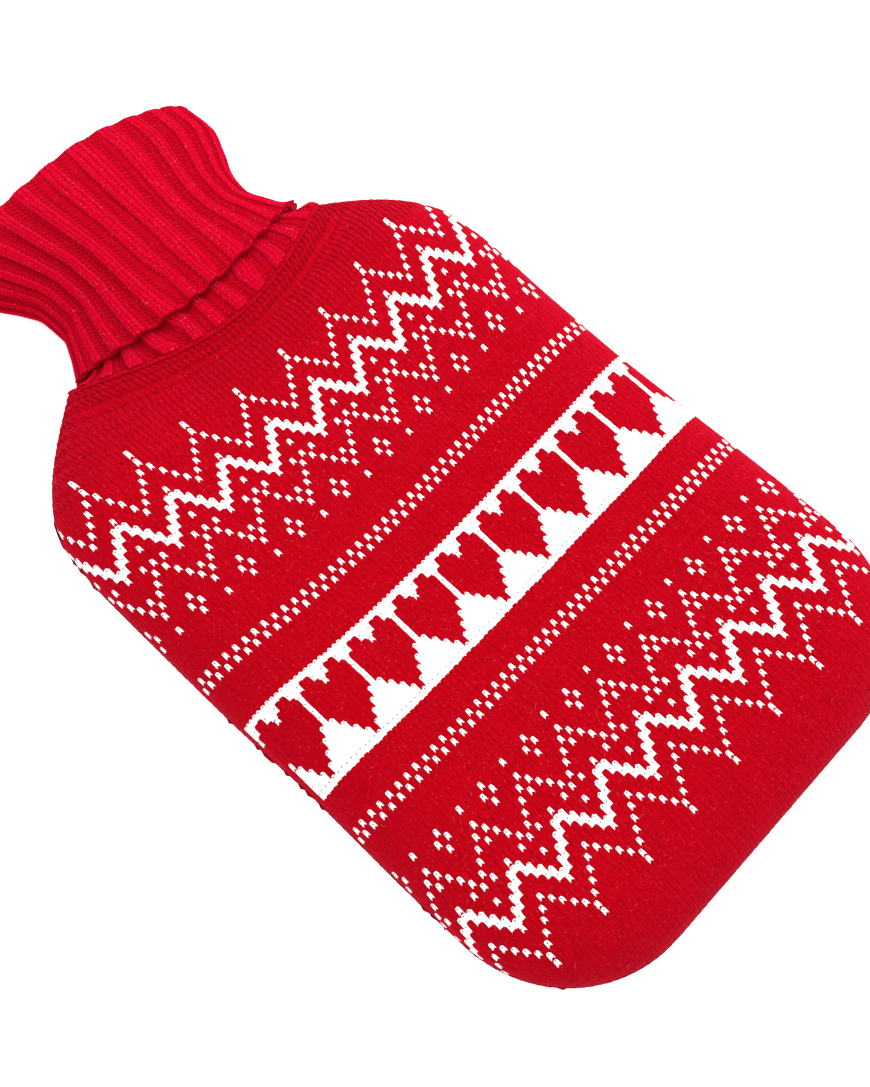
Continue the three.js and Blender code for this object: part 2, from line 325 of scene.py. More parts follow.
# Places where the front's knitting is pulled out of true: (wale, row, reach in wales, reach in
# rows, pull across in wales, pull down in rows).
PULLS = (
    (-2, 1, 13, 6, 1.0, 0.5), (25, 2, 14, 6, 0.1, 0.4), (78, 8, 10, 5, 0.6, 0.1),
    (30, 14, 22, 8, -0.3, 0.1), (84, 21, 12, 6, -0.4, 0.9), (25, 24, 26, 5, -0.1, 0.5),
    (70, 26, 10, 7, -1.0, 0.2), (-4, 34, 9, 6, 0.2, -0.6), (66, 38, 10, 5, -0.4, 0.1),
    (45, 46, 22, 4, 0.3, -0.1), (6, 57, 12, 8, 0.0, 0.6),
)
BASE_SPREAD = 0.055   # towards the base the wales spread from this wale, over these rows
BASE_SPREAD_WALE = 27
BASE_SPREAD_ROW = 46
BASE_SPREAD_ROWS = 19
NECK_DIP = 2.3        # how far the front dips just below the join with the neck
NECK_DIP_ROW = -4.9
NECK_DIP_ROWS = 1.35
DIP_FADES = 0.6       # the dip fades from this share of the way to a seam
DIP_FADE = 0.3


def smooth_step(value):
    """From 0 to 1 without a corner at either end."""
    value = np.clip(value, 0, 1)
    return value * value * (3 - 2 * value)


def settled(wale, row):
    """Where a stitch of the front has really settled, in wales and rows of the even cloth."""
    across = (BASE_SPREAD * (wale - BASE_SPREAD_WALE)
              * smooth_step((row - BASE_SPREAD_ROW) / BASE_SPREAD_ROWS))
    down = np.zeros(np.shape(across))
    for middle, level_row, wide, long, pull_across, pull_down in PULLS:
        near = np.exp(-((wale - middle) / wide) ** 2 - ((row - level_row) / long) ** 2)
        across = across + pull_across * near
        down = down + pull_down * near
    loose = smooth_step((row + 7.4) / 5) * smooth_step((80 - row) / 6)
    return wale + across, row + down * loose


def front_share(wale, row):
    """Share of the way to the seam of a stitch of the front."""
    wale, row = settled(wale, row)
    return front_map.share(wale_place(wale, row), row)


def front_point(wale, row, lift):
    """A point on the front: lift is how far it stands out from the cloth."""
    wale, row, lift = np.broadcast_arrays(wale, row, lift)
    share = np.clip(front_share(wale, row), -1, 1)
    inner = 1 - smooth_step((np.abs(share) - DIP_FADES) / DIP_FADE)
    lift = lift - NECK_DIP * inner * np.exp(-((row - NECK_DIP_ROW) / NECK_DIP_ROWS) ** 2)
    at, rise = row_level(settled(wale, row)[1], FRONT_ROUND, lift)
    return surface_point(1, at, share, lift, SEAM_Z + SEAM_GAP / 2, rise)


def back_point(wale, row, lift):
    wale, row, lift = np.broadcast_arrays(wale, row, lift)
    share = np.clip(back_map.share(WALE * (wale - MIDDLE_WALE), row), -1, 1)
    at, rise = row_level(row, BACK_ROUND, lift)
    return surface_point(-1, at, share, lift, SEAM_Z - SEAM_GAP / 2, rise)


# ---- the knitting chart ---------------------------------------------------------------

REPEAT = 10
# White stitches of the zigzags and little flowers, row by row, as distances from the
# middle of the repeat.
ZIGZAG = {
    0: (0,), 1: (0,), 2: (1,), 3: (2,), 4: (3,), 5: (4, 0), 6: (5, 0, 1), 7: (1, 2),
    8: (2, 3), 9: (3, 4, 0), 10: (4, 5), 11: (5, 0, 2), 12: (1,), 13: (2,), 14: (3, 5),
    15: (4,), 16: (5, 0), 17: (1,), 18: (0, 5),
}
ZIGZAG_ROWS = 18
LOWER_ZIGZAG = 51
CHECKS = (23, 45)
HEART_BAND = (30, 40)
# Red stitches of one heart, row by row from its two lobes to its point.
HEART = {
    31: (2, 3, 7, 8), 32: (1, 2, 3, 4, 6, 7, 8, 9), 33: range(1, 10), 34: range(1, 10),
    35: range(1, 10), 36: range(2, 9), 37: range(3, 8), 38: range(4, 7), 39: (5,),
}
PATTERN_EDGE = -10    # no white stitch lies left of this wale


def is_white(wale, row):
    """Whether the chart has a white stitch at this cell."""
    if wale < PATTERN_EDGE:
        return False
    step = wale % REPEAT
    if row in range(ZIGZAG_ROWS + 1):
        return min(step, REPEAT - step) in ZIGZAG[row]
    if row in range(LOWER_ZIGZAG, LOWER_ZIGZAG + ZIGZAG_ROWS + 1):
        return min(step, REPEAT - step) in ZIGZAG[LOWER_ZIGZAG + ZIGZAG_ROWS - row]
    for first in CHECKS:
        if row in (first, first + 1):
            return step % 2 == (1 if row == first else 0)
    if row in HEART_BAND:
        return row < BAND_ROW or wale > PATTERN_EDGE
    if row > HEART_BAND[0] + 2 and wale == PATTERN_EDGE and row in HEART:
        return False
    return row in HEART and step not in HEART[row]


# ---- meshes ---------------------------------------------------------------------------

chance = np.random.default_rng(28)
SWELL_SHARE = 1.5     # a stitch's height varies this much more than its place
UV_DRIFT = 40         # each stitch takes its fibres from its own part of the pattern


def new_piece(name, points, faces, uv=None, smooth=True):
    """A mesh object from points in millimetres and faces with the same number of corners."""
    mesh = bpy.data.meshes.new(name)
    corners = np.concatenate([np.asarray(group).ravel() for group in faces])
    counts = np.concatenate([np.full(len(group), np.asarray(group).shape[1]) for group in faces])
    mesh.vertices.add(len(points))
    mesh.vertices.foreach_set("co", ((points + CLOTH_SHIFT) * MM).astype(np.float32).ravel())
    mesh.loops.add(len(corners))
    mesh.loops.foreach_set("vertex_index", corners.astype(np.int32))
    mesh.polygons.add(len(counts))
    starts = np.concatenate(((0,), np.cumsum(counts)[:-1]))
    mesh.polygons.foreach_set("loop_start", starts.astype(np.int32))
    mesh.update(calc_edges=True)
    mesh.validate()
    if smooth:
        mesh.shade_smooth()
    if uv is not None:
        layer = mesh.uv_layers.new(name="yarn")
        layer.data.foreach_set("uv", uv[corners].astype(np.float32).ravel())
    piece = bpy.data.objects.new(name, mesh)
    scene.collection.objects.link(piece)
    return piece


def model_stitch(sides, rings):
    """One stitch: a disc drawn out ring by ring, each ring then shaped by its points."""
    bpy.ops.mesh.primitive_circle_add(vertices=sides, radius=1, fill_type="NGON")
    disc = bpy.context.object
    bpy.ops.object.mode_set(mode="EDIT")
    bpy.ops.mesh.select_all(action="SELECT")
    for _ in rings[1:]:
        bpy.ops.mesh.extrude_region_move(TRANSFORM_OT_translate={"value": (0, 0, 1)})
    bpy.ops.mesh.select_all(action="SELECT")
    bpy.ops.mesh.normals_make_consistent(inside=False)
    bpy.ops.object.mode_set(mode="OBJECT")
    points = np.empty((len(disc.data.vertices), 3))
    for k, vertex in enumerate(disc.data.vertices):
        turn = (math.atan2(vertex.co.y, vertex.co.x) - math.pi / 2) / (2 * math.pi / sides)
        points[k] = rings[round(vertex.co.z)][round(turn) % sides]
    # Extruding leaves the faces in an order that changes from run to run, so they are sorted.
    faces = sorted(tuple(polygon.vertices) for polygon in disc.data.polygons)
    bpy.data.objects.remove(disc)
    return points, faces


def mirrored_ring(valley, crest, low, bottom):
    """Six points round a stitch, from the valley between its legs, over its left side."""
    left = [(-crest[0], crest[1], crest[2]), (-low[0], low[1], low[2])]
    right = [(low[0], low[1], low[2]), crest]
    return [(0, valley[0], valley[1])] + left + [(0, bottom[0], bottom[1])] + right


# Points are (across in wales, down in rows, height), round head first, forked end last.
V_SIDES = 6
V_STITCH = model_stitch(V_SIDES, (
    mirrored_ring((-0.62, 0.75), (0.20, -0.62, 0.90), (0.40, -0.60, 0.6), (-0.58, -1.0)),
    mirrored_ring((-0.36, 0.80), (0.26, -0.40, 1.00), (0.55, -0.36, 0.6), (-0.36, -1.2)),
    mirrored_ring((0.0, 0.50), (0.28, 0.0, 1.0), (0.58, 0.0, 0.6), (0.0, -1.2)),
    mirrored_ring((0.44, 0.35), (0.34, 0.68, 0.90), (0.58, 0.68, 0.6), (0.44, -1.2)),
))
# The plain back needs no fork to its stitches.
PLAIN_STITCH = model_stitch(4, (
    [(0, -0.58, 0.6), (-0.30, -0.56, 0.0), (0, -0.52, -0.6), (0.30, -0.56, 0.0)],
    [(0, -0.06, 1.0), (-0.54, -0.02, 0.0), (0, -0.06, -0.8), (0.54, -0.02, 0.0)],
    [(0, 0.42, 0.6), (-0.46, 0.58, 0.1), (0, 0.42, -0.6), (0.46, 0.58, 0.1)],
))
# A white stitch among red ones stands alone, with a round head and a forked end.
LONE_STITCH = model_stitch(6, (
    mirrored_ring((-0.55, 0.35), (0.13, -0.54, 0.40), (0.23, -0.50, -0.2), (-0.48, -0.6)),
    mirrored_ring((-0.38, 0.85), (0.25, -0.40, 0.98), (0.44, -0.36, 0.0), (-0.36, -0.8)),
    mirrored_ring((0.0, 0.75), (0.29, 0.0, 1.0), (0.50, 0.0, 0.0), (0.0, -0.8)),
    mirrored_ring((0.18, 0.50), (0.33, 0.30, 0.9), (0.50, 0.30, 0.0), (0.18, -0.8)),
    mirrored_ring((0.24, -0.4), (0.38, 0.56, 0.35), (0.45, 0.50, -0.2), (0.32, -0.8)),
))
# A small dark fill in the middle of a lone stitch, where its two legs part: painted shade of the
# hole there.
EYELET = model_stitch(4, (
    [(0, -1.0, 0.0), (0, -1.0, 0.0), (0, -1.0, 0.0), (0, -1.0, 0.0)],
    [(0, 0, 1.0), (-1.0, 0, 0.0), (0, 0, -1.0), (1.0, 0, 0.0)],
    [(0, 1.0, 0.0), (0, 1.0, 0.0), (0, 1.0, 0.0), (0, 1.0, 0.0)],
))
# Where the neck gathers the front, its wales are unbroken ridges.
PLEAT_STITCH = model_stitch(4, (
    [(0, -0.62, 0.90), (-0.42, -0.60, -0.3), (0, -0.58, -1.2), (0.42, -0.60, -0.3)],
    [(0, 0.0, 1.0), (-0.50, 0.0, -0.3), (0, 0.0, -1.2), (0.50, 0.0, -0.3)],
    [(0, 0.66, 0.90), (-0.44, 0.62, -0.3), (0, 0.60, -1.2), (0.44, 0.62, -0.3)],
))
# The stitches of the ribs, of the hem, of the join and of the seam.
ROUND_STITCH = model_stitch(6, (
    mirrored_ring((-0.62, 0.50), (0.20, -0.60, 0.66), (0.34, -0.58, 0.1), (-0.56, -0.6)),
    mirrored_ring((-0.10, 0.66), (0.26, -0.10, 1.00), (0.56, -0.06, 0.3), (-0.06, -0.8)),
    mirrored_ring((0.40, 0.25), (0.34, 0.66, 0.78), (0.56, 0.62, 0.2), (0.42, -0.8)),
))


def knit(name, stitch, cells, place, height, sunk=0.0, jitter=0.035, size=1.0):
    """Copies of one stitch joined into one piece, each at its own cell of the knitting."""
    shape, faces = stitch
    cells = np.asarray(cells, float)
    count, corners = len(cells), len(shape)
    nudge = chance.normal(0, jitter, (count, 3))
    across = cells[:, 0, None] + nudge[:, 0, None] + shape[None, :, 0] * size
    down = cells[:, 1, None] + nudge[:, 1, None] + shape[None, :, 1]
    height = np.broadcast_to(height, count)[:, None]
    lift = height * (shape[None, :, 2] * (1 + SWELL_SHARE * nudge[:, 2, None]) - 1.0) - sunk
    points = place(across, down, lift).reshape(-1, 3)
    first = (np.arange(count) * corners)[:, None, None]
    groups = []
    for sides in sorted({len(face) for face in faces}):
        group = np.array([face for face in faces if len(face) == sides])
        groups.append((group[None] + first).reshape(-1, sides))
    if signed_volume(points, groups) < 0:
        groups = [group[:, ::-1] for group in groups]
    drift = chance.uniform(0, UV_DRIFT, (count, 2))
    uv = np.stack((shape[None, :, 0] + drift[:, 0, None], shape[None, :, 1] + drift[:, 1, None]),
                  -1).reshape(-1, 2)
    return new_piece(name, points, groups, uv)


def signed_volume(points, groups):
    """Above 0 where the faces of closed pieces point outwards."""
    total = 0.0
    for group in groups:
        for k in range(1, group.shape[1] - 1):
            a, b, c = points[group[:, 0]], points[group[:, k]], points[group[:, k + 1]]
            total += np.einsum("ij,ij->", a, np.cross(b, c)) / 6
    return total


# ---- materials ------------------------------------------------------------------------

def link_nodes(tree, pairs):
    for source, target in pairs:
        tree.links.new(source, target)


def build_wool_group():
    """Wool yarn: fibres along the stitch, soft mottling over the cloth and pale fluff."""
    tree = bpy.data.node_groups.new("wool_yarn", "ShaderNodeTree")
    for name, kind, value in (("Wool", "NodeSocketColor", (0.5, 0.0, 0.02, 1)),
                              ("Deep", "NodeSocketColor", (0.3, 0.0, 0.01, 1)),
                              ("Fluff", "NodeSocketColor", (0.9, 0.2, 0.3, 1)),
                              ("Fluff Amount", "NodeSocketFloat", 0.3),
                              ("Mottling", "NodeSocketFloat", 0.3)):
        socket = tree.interface.new_socket(name=name, in_out="INPUT", socket_type=kind)
        socket.default_value = value
    for name, kind in (("Color", "NodeSocketColor"), ("Roughness", "NodeSocketFloat"),
                       ("Height", "NodeSocketFloat")):
        tree.interface.new_socket(name=name, in_out="OUTPUT", socket_type=kind)
    nodes = tree.nodes
    given, result = nodes.new("NodeGroupInput"), nodes.new("NodeGroupOutput")
    place = nodes.new("ShaderNodeTexCoord")
    drawn = nodes.new("ShaderNodeMapping")
    drawn.inputs["Scale"].default_value = (3.2, 0.9, 1.0)
    fibres = nodes.new("ShaderNodeTexNoise")
    fibres.inputs["Scale"].default_value = 1.0
    fibres.inputs["Detail"].default_value = 3
    cloud = nodes.new("ShaderNodeTexNoise")
    cloud.inputs["Scale"].default_value = 130
    cloud.inputs["Detail"].default_value = 2
    speck = nodes.new("ShaderNodeTexNoise")
    speck.inputs["Scale"].default_value = 1150
    speck.inputs["Detail"].default_value = 1
    link_nodes(tree, ((place.outputs["UV"], drawn.inputs["Vector"]),
                      (drawn.outputs["Vector"], fibres.inputs["Vector"]),
                      (place.outputs["Object"], cloud.inputs["Vector"]),
                      (place.outputs["Object"], speck.inputs["Vector"])))

    def stretch(source, low, high, to_low, to_high):
        node = nodes.new("ShaderNodeMapRange")
        for name, value in (("From Min", low), ("From Max", high),
                            ("To Min", to_low), ("To Max", to_high)):
            node.inputs[name].default_value = value
        tree.links.new(source, node.inputs["Value"])
        return node.outputs["Result"]

    def blend(mode, factor, first, second):
        node = nodes.new("ShaderNodeMix")
        node.data_type = "RGBA"
        node.blend_type = mode
        link_nodes(tree, ((factor, node.inputs["Factor"]), (first, node.inputs[6]),
                          (second, node.inputs[7])))
        return node.outputs[2]

    def times(first, second):
        node = nodes.new("ShaderNodeMath")
        node.operation = "MULTIPLY"
        link_nodes(tree, ((first, node.inputs[0]), (second, node.inputs[1])))
        return node.outputs[0]

    strands = blend("MIX", stretch(fibres.outputs[0], 0.36, 0.62, 0.55, 0.0),
                    given.outputs["Wool"], given.outputs["Deep"])
    patches = blend("MIX", times(stretch(cloud.outputs[0], 0.35, 0.65, 0.0, 1.0),
                                 given.outputs["Mottling"]), strands, given.outputs["Deep"])
    flecks = blend("MIX", times(stretch(speck.outputs[0], 0.66, 0.74, 0.0, 1.0),
                                given.outputs["Fluff Amount"]), patches, given.outputs["Fluff"])
    link_nodes(tree, ((flecks, result.inputs["Color"]),
                      (stretch(fibres.outputs[0], 0.3, 0.7, 0.98, 0.82),
                       result.inputs["Roughness"]),
                      (fibres.outputs[0], result.inputs["Height"])))
    return tree


wool_group = build_wool_group()


SHEEN_ROUGHNESS = 0.45
WOOL_SHINE = 0.02
FIBRE_RELIEF = 0.0002
# How far the painted sheen spreads in from where the cloth turns away.
PAINTED_SHEEN_BLEND = 0.18


def wool(name, color, deep, fluff, painted_sheen, fluff_amount, mottling, sheen, bump):
    """A yarn's material; where the cloth turns away from the view, its colour is mixed towards a
    painted sheen colour.
    """
    material = bpy.data.materials.new(name)
    material.use_nodes = True
    tree = material.node_tree
    shader = tree.nodes["Principled BSDF"]
    shader.inputs["Sheen Weight"].default_value = sheen
    shader.inputs["Sheen Roughness"].default_value = SHEEN_ROUGHNESS
    shader.inputs["Sheen Tint"].default_value = (*fluff, 1)
    shader.inputs["Specular IOR Level"].default_value = WOOL_SHINE
    yarn = tree.nodes.new("ShaderNodeGroup")
    yarn.node_tree = wool_group
    yarn.inputs["Wool"].default_value = (*color, 1)
    yarn.inputs["Deep"].default_value = (*deep, 1)
    yarn.inputs["Fluff"].default_value = (*fluff, 1)
    yarn.inputs["Fluff Amount"].default_value = fluff_amount
    yarn.inputs["Mottling"].default_value = mottling
    relief = tree.nodes.new("ShaderNodeBump")
    relief.inputs["Strength"].default_value = bump
    relief.inputs["Distance"].default_value = FIBRE_RELIEF
    # Painted sheen: the colour goes towards the sheen colour where the cloth turns away from the
    # view.
    sheen_facing = tree.nodes.new("ShaderNodeLayerWeight")
    sheen_facing.inputs["Blend"].default_value = PAINTED_SHEEN_BLEND
    edge = tree.nodes.new("ShaderNodeMix")
    edge.data_type = "RGBA"
    edge.inputs[7].default_value = (*painted_sheen, 1)
    link_nodes(tree, ((sheen_facing.outputs["Facing"], edge.inputs["Factor"]),
                      (yarn.outputs["Color"], edge.inputs[6]),
                      (edge.outputs[2], shader.inputs["Base Color"]),
                      (yarn.outputs["Roughness"], shader.inputs["Roughness"]),
                      (yarn.outputs["Height"], relief.inputs["Height"]),
                      (relief.outputs["Normal"], shader.inputs["Normal"])))
    return material


# The colour given after each yarn's fluff is painted sheen, for where the cloth turns away from
# the view.
red_wool = wool("red_wool", color=(0.385, 0.0004, 0.006), deep=(0.245, 0.0001, 0.002),
                fluff=(0.70, 0.07, 0.10), painted_sheen=(0.40, 0.0002, 0.024),
                fluff_amount=0.20, mottling=0.22, sheen=0.03, bump=0.5)
rib_wool = wool("rib_wool", color=(0.515, 0.0007, 0.010), deep=(0.40, 0.0003, 0.005),
                fluff=(0.78, 0.09, 0.13), painted_sheen=(0.50, 0.0006, 0.060),
                fluff_amount=0.40, mottling=0.20, sheen=0.04, bump=0.6)
# The purl is the ribs' own yarn, painted darker: painted shade in the troughs between the ribs.
purl_shade_wool = wool("purl_shade_wool", color=(0.475, 0.0006, 0.008), deep=(0.36, 0.0002, 0.004),
                 fluff=(0.70, 0.05, 0.10), painted_sheen=(0.46, 0.0004, 0.036),
                 fluff_amount=0.25, mottling=0.20, sheen=0.03, bump=0.5)
white_wool = wool("white_wool", color=(0.94, 0.93, 0.92), deep=(0.90, 0.89, 0.88),
                  fluff=(0.95, 0.94, 0.92), painted_sheen=(0.94, 0.93, 0.92),
                  fluff_amount=0.0, mottling=0.1, sheen=0.1, bump=0.2)
# Painted shade, for the dark holes in the middle of the lone stitches.
shade_wool = wool("shade_wool", color=(0.20, 0.13, 0.14), deep=(0.12, 0.07, 0.08),
                  fluff=(0.2, 0.1, 0.1), painted_sheen=(0.20, 0.13, 0.14),
                  fluff_amount=0.0, mottling=0.2, sheen=0.0, bump=0.2)
fluff_wool = wool("fluff_wool", color=(0.78, 0.10, 0.18), deep=(0.62, 0.05, 0.10),
                  fluff=(0.85, 0.2, 0.3), painted_sheen=(0.78, 0.10, 0.18),
                  fluff_amount=0.2, mottling=0.2, sheen=0.0, bump=0.1)

# ---- the two panels -------------------------------------------------------------------

SHEET_SUNK = 0.10    # the cloth's own face lies this far below the tops of its stitches
SHEET_THICKNESS = 1.1
YARN_HEIGHT = 0.14   # how far a plain stitch stands out, and the white ones below
LONE_HEIGHT = 0.55
PACKED_HEIGHT = 0.22
LONE_PROUD = 0.1     # white yarn also stands this far above the red
PACKED_PROUD = 0.06
EYELET_HEIGHT = 0.14
EYELET_PROUD = 0.20
EYELET_UP = 0.28     # in rows, above the middle of its stitch
CLOSE = 0.00002      # points of the sheet nearer than this become one
SEAM_SHARE = 0.992   # stitches stop at this share of the way to a seam
NECK_RELIEF = 0.42   # the wales stand out more where the neck gathers them
GATHERED_ROW = -4.4
GATHERED_ROWS = 2.8
PLEATED_ROWS = 2     # rows above this one are pleats


def gathered(row):
    """1 where the neck gathers the front most, fading out over some rows."""
    return np.exp(-((np.asarray(row, float) - GATHERED_ROW) / GATHERED_ROWS) ** 2)


def panel_sheet(name, place, face):
    """A grid laid on the knitting's own rows and wales, cut at the outline and thickened."""
    columns, rows = LAST_WALE - FIRST_WALE + 1, LAST_ROW - FIRST_ROW + 1
    bpy.ops.mesh.primitive_grid_add(x_subdivisions=columns, y_subdivisions=rows, size=1)
    sheet = bpy.context.object
    sheet.name = sheet.data.name = name
    mesh = sheet.data
    at = np.empty(len(mesh.vertices) * 3)
    mesh.vertices.foreach_get("co", at)
    at = at.reshape(-1, 3)
    wale = FIRST_WALE - 0.5 + (at[:, 0] + 0.5) * columns
    row = FIRST_ROW - 0.5 + (0.5 - at[:, 1]) * rows
    top_row, base_row = row_limits(face)
    row = np.clip(row, top_row, base_row)
    points = place(wale, row, -SHEET_SUNK - NECK_RELIEF * gathered(row) * (face > 0))
    mesh.vertices.foreach_set("co", ((points + CLOTH_SHIFT) * MM).ravel())
    mesh.materials.append(red_wool)
    mesh.materials.append(white_wool)
    if face > 0:
        for polygon in mesh.polygons:
            middle_wale = sum(wale[v] for v in polygon.vertices) / len(polygon.vertices)
            middle_row = sum(row[v] for v in polygon.vertices) / len(polygon.vertices)
            cell = round(middle_wale), round(middle_row)
            if is_white(*cell) and white_neighbours(*cell) > 1:
                polygon.material_index = 1
    bpy.ops.object.mode_set(mode="EDIT")
    bpy.ops.mesh.select_all(action="SELECT")
    bpy.ops.mesh.remove_doubles(threshold=CLOSE)
    bpy.ops.mesh.dissolve_degenerate(threshold=CLOSE)
    bpy.ops.mesh.select_all(action="SELECT")
    bpy.ops.mesh.normals_make_consistent(inside=False)
    bpy.ops.object.mode_set(mode="OBJECT")
    if sum(p.normal.z * p.area for p in mesh.polygons) * face < 0:
        mesh.flip_normals()
    mesh.shade_smooth()
    thick = sheet.modifiers.new("cloth", "SOLIDIFY")
    thick.thickness = SHEET_THICKNESS * MM
    thick.offset = -1.0
    bpy.ops.object.modifier_apply(modifier=thick.name)
    bpy.ops.object.select_all(action="DESELECT")
    return sheet


def row_limits(face):
    """The rows at the neck join and at the base seam, as fractions."""
    reach = FRONT_ROUND if face > 0 else BACK_ROUND
    first = BAND_ROW + (BAND_AT - JOIN_Y) / ROW
    last = BAND_ROW + (BAND_AT - BASE_Y - reach + BASE_EDGES[reach][1][-1]) / ROW
    return first, last


def panel_cells(face):
    """Every cell of a panel whose stitch lies inside the outline."""
    cells = []
    first, last = row_limits(face)
    for row in range(math.ceil(first + 0.3), math.floor(last - 0.2) + 1):
        wales = np.arange(FIRST_WALE, LAST_WALE + 1, dtype=float)
        if face > 0:
            share = front_share(wales, np.full(len(wales), float(row)))
        else:
            share = back_map.share(WALE * (wales - MIDDLE_WALE), np.full(len(wales), float(row)))
        cells += [(int(w), row) for w, s in zip(wales, share) if abs(s) < SEAM_SHARE]
    return cells


def scaled(stitch, wide, long=1):
    """A stitch made narrower or shorter; a length below 0 turns its head down."""
    shape, faces = stitch
    return shape * np.array((wide, long, 1.0)), faces


def part_stitch_ends(piece):
    """Shades the two ends of each V stitch apart, so that its wale reads as one ridge."""
    mesh = piece.data
    parted = np.zeros(len(mesh.edges), bool)
    edge_of = np.empty(len(mesh.loops), np.int32)
    mesh.loops.foreach_get("edge_index", edge_of)
    for polygon in mesh.polygons:
        if polygon.loop_total == V_SIDES:
            parted[edge_of[polygon.loop_start:polygon.loop_start + V_SIDES]] = True
    mesh.attributes.new("sharp_edge", "BOOLEAN", "EDGE").data.foreach_set("value", parted)


def white_neighbours(wale, row):
    """How many of a cell's four neighbours are white."""
    near = ((wale - 1, row), (wale + 1, row), (wale, row - 1), (wale, row + 1))
    return sum(is_white(*other) for other in near)


front_cloth = panel_sheet("front_cloth", front_point, 1)
back_cloth = panel_sheet("back_cloth", back_point, -1)

front_cells = panel_cells(1)
white_cells = [cell for cell in front_cells if is_white(*cell)]
red_cells = [cell for cell in front_cells if not is_white(*cell)]
upper_cells = [cell for cell in red_cells if cell[1] < BAND_ROW - 2]
lower_cells = [cell for cell in red_cells if cell[1] >= BAND_ROW - 2]
lone_cells = [cell for cell in white_cells if white_neighbours(*cell) < 4]
packed_cells = [cell for cell in white_cells if white_neighbours(*cell) == 4]
front_white = knit("front_white", LONE_STITCH, lone_cells, front_point,
                   LONE_HEIGHT, -LONE_PROUD)
front_packed = knit("front_packed", V_STITCH, packed_cells, front_point,
                    PACKED_HEIGHT, -PACKED_PROUD)
# Each eyelet is a small dark fill: painted shade of the hole where a lone stitch's legs part.
eyelet_cells = [(wale, row - EYELET_UP) for wale, row in lone_cells]
front_eyelet_shades = knit("front_eyelet_shades", scaled(EYELET, wide=0.18, long=0.11), eyelet_cells,
                     front_point, EYELET_HEIGHT, -EYELET_PROUD, jitter=0.05)
pleat_cells = [cell for cell in upper_cells if cell[1] < PLEATED_ROWS]
upper_cells = [cell for cell in upper_cells if cell[1] >= PLEATED_ROWS]
front_pleats = knit("front_pleats", PLEAT_STITCH, pleat_cells, front_point,
                    YARN_HEIGHT + NECK_RELIEF * gathered([row for wale, row in pleat_cells]))
front_upper = knit("front_upper", V_STITCH, upper_cells, front_point, YARN_HEIGHT)
front_lower = knit("front_lower", V_STITCH, lower_cells, front_point, YARN_HEIGHT)
back_knit = knit("back_knit", PLAIN_STITCH, panel_cells(-1), back_point, YARN_HEIGHT)
for piece in (front_packed, front_upper, front_lower):
    part_stitch_ends(piece)
for piece in (front_white, front_packed):
    piece.data.materials.append(white_wool)
front_eyelet_shades.data.materials.append(shade_wool)
for piece in (front_pleats, front_upper, front_lower, back_knit):
    piece.data.materials.append(red_wool)

# ---- the ribbed collar ----------------------------------------------------------------

RIBS = 28
RIB_MIDDLE = 0.125    # the middle of a rib, in ribs, and of the trough beside it
TROUGH_MIDDLE = 0.625
RIB_HEIGHT = 0.85
RIB_SQUARENESS = 1.7
TROUGH_DEPTH = 1.5    # times the height of a rib
FOLD_FLATTENS = 0.6   # the ribs lose this share of their height by the fold
FLAT_FROM, FLAT_OVER = 164, 12
RIB_CLOTH = 3.0
LAYER_GAP = 0.8
FOLD_RADIUS = RIB_CLOTH + LAYER_GAP / 2
DOWN_LENGTH = FOLD_Y - HEM_Y
FOLD_LENGTH = math.pi * FOLD_RADIUS
RIB_ROW = 1.95
RIB_WALE = 0.165      # from one wale to the next, in ribs
WALES_A_RIB = 6
# The turned-down collar hangs lower at its left, and lies higher right of its middle. Each is
# given as millimetres, with where it starts and how far it takes.
DROOP_CURVE = (9.0, 24, 28)
DROOP_STEP = (5.0, 30, 12)
RAISED = (3.2, -16, 30)
DROOP_LEVEL, DROOP_LEVELS = 130, 50
END_RIBS = 1.3        # the right seam's bulges fade out within this many ribs
HEM_FLARE, HEM_FLARE_LENGTH = 0.8, 3.5
HEM_WAIST, HEM_WAIST_AT, HEM_WAIST_LENGTH = 2.2, 9, 6
HEM_EVENS, HEM_EVEN_LENGTH = 0.75, 5
NECK_BULGE, NECK_BULGE_AT, NECK_BULGE_LENGTH = 1.8, 4, 3.5
NECK_WAIST, NECK_WAIST_FROM, NECK_WAIST_LENGTH = 2.6, 6, 6
COLLAR_SUNK = 0.25    # the collar's cloth lies this far below the tops of its stitches
RIB_STEPS = 12        # steps of the collar's mesh to a rib
HEM_ROW = 1.2
JOIN_ROW = 2.2


def rib_relief(turn, at):
    """How far a rib stands out, or the trough beside it lies in; less at the fold."""
    wave = np.clip(RIB_SQUARENESS * np.cos(2 * math.pi * (turn - RIB_MIDDLE)), -1, 1)
    wave = np.where(wave < 0, TROUGH_DEPTH * wave, wave)
    return RIB_HEIGHT * wave * (1 - FOLD_FLATTENS * smooth_step((at - FLAT_FROM) / FLAT_OVER))


def ring_point(turn, at, out):
    """A point round the neck: turn 0 is the right seam, 14 the left one, 28 the right."""
    turn = np.mod(turn, RIBS)
    half = RIBS / 2
    upper = turn < half
    share = np.where(upper, 1 - 2 * turn / half, -1 + 2 * (turn - half) / half)
    points = surface_point(np.where(upper, 1, -1), at, share, out, SEAM_Z)
    left = -points[..., 0]
    curve, step, raised = DROOP_CURVE, DROOP_STEP, RAISED
    droop = (curve[0] * (np.maximum(left - curve[1], 0) / curve[2]) ** 2
             + step[0] * smooth_step((left - step[1]) / step[2]))
    droop -= raised[0] * np.exp(-((left - raised[1]) / raised[2]) ** 2)
    points[..., 1] -= droop * smooth_step((at - DROOP_LEVEL) / DROOP_LEVELS)
    return points


def right_end(turn):
    """1 at the right seam, fading out within two ribs of it."""
    away = np.minimum(np.mod(turn, RIBS), RIBS - np.mod(turn, RIBS))
    return np.exp(-(away / END_RIBS) ** 2)


